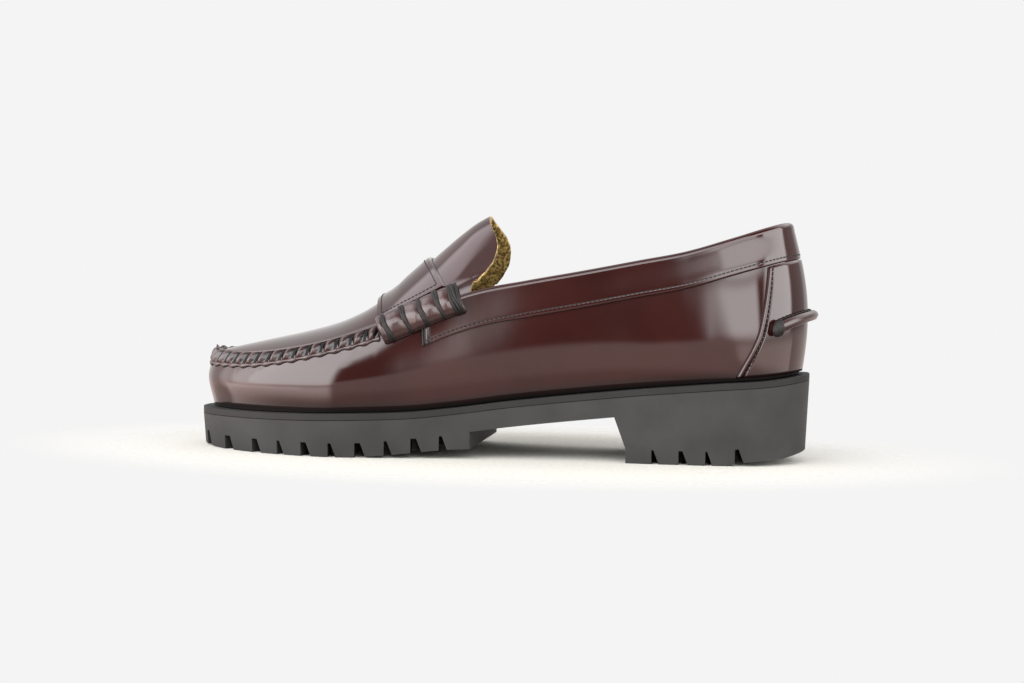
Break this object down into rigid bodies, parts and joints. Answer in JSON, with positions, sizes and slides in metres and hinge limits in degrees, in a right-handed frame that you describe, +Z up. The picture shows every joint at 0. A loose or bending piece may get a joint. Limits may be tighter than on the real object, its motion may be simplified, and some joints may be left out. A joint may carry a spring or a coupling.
{
  "type": "lug sole penny loafer",
  "caption": "Right penny loafer with a moccasin apron, saddle strap and side rolls, on a black lug sole with a block heel.",
  "frame": {"origin": "floor level, under the middle of the shoe's box", "axes": "+X to the toe, +Y to the inner side of the foot, +Z up"},
  "size_m": [0.2812, 0.1, 0.1071],
  "materials": {
    "outsole_rubber": "matte black moulded rubber",
    "midsole_rubber": "matte black rubber band",
    "upper_leather": "glossy polished burgundy leather",
    "trim_leather": "glossy dark burgundy leather, bound with waxed cord",
    "lining_leather": "plain tan lining leather",
    "waxed_cord": "dark waxed sewing cord"
  },
  "bodies": {
    "root": {"outsole": "outsole_rubber", "midsole": "midsole_rubber", "insole": "lining_leather", "upper": "upper_leather", "collar_band": "upper_leather", "heel_counter": "upper_leather", "strap": "upper_leather", "beefroll_inner": "trim_leather", "beefroll_outer": "trim_leather", "heel_roll": "trim_leather"}
  },
  "joints": []
}
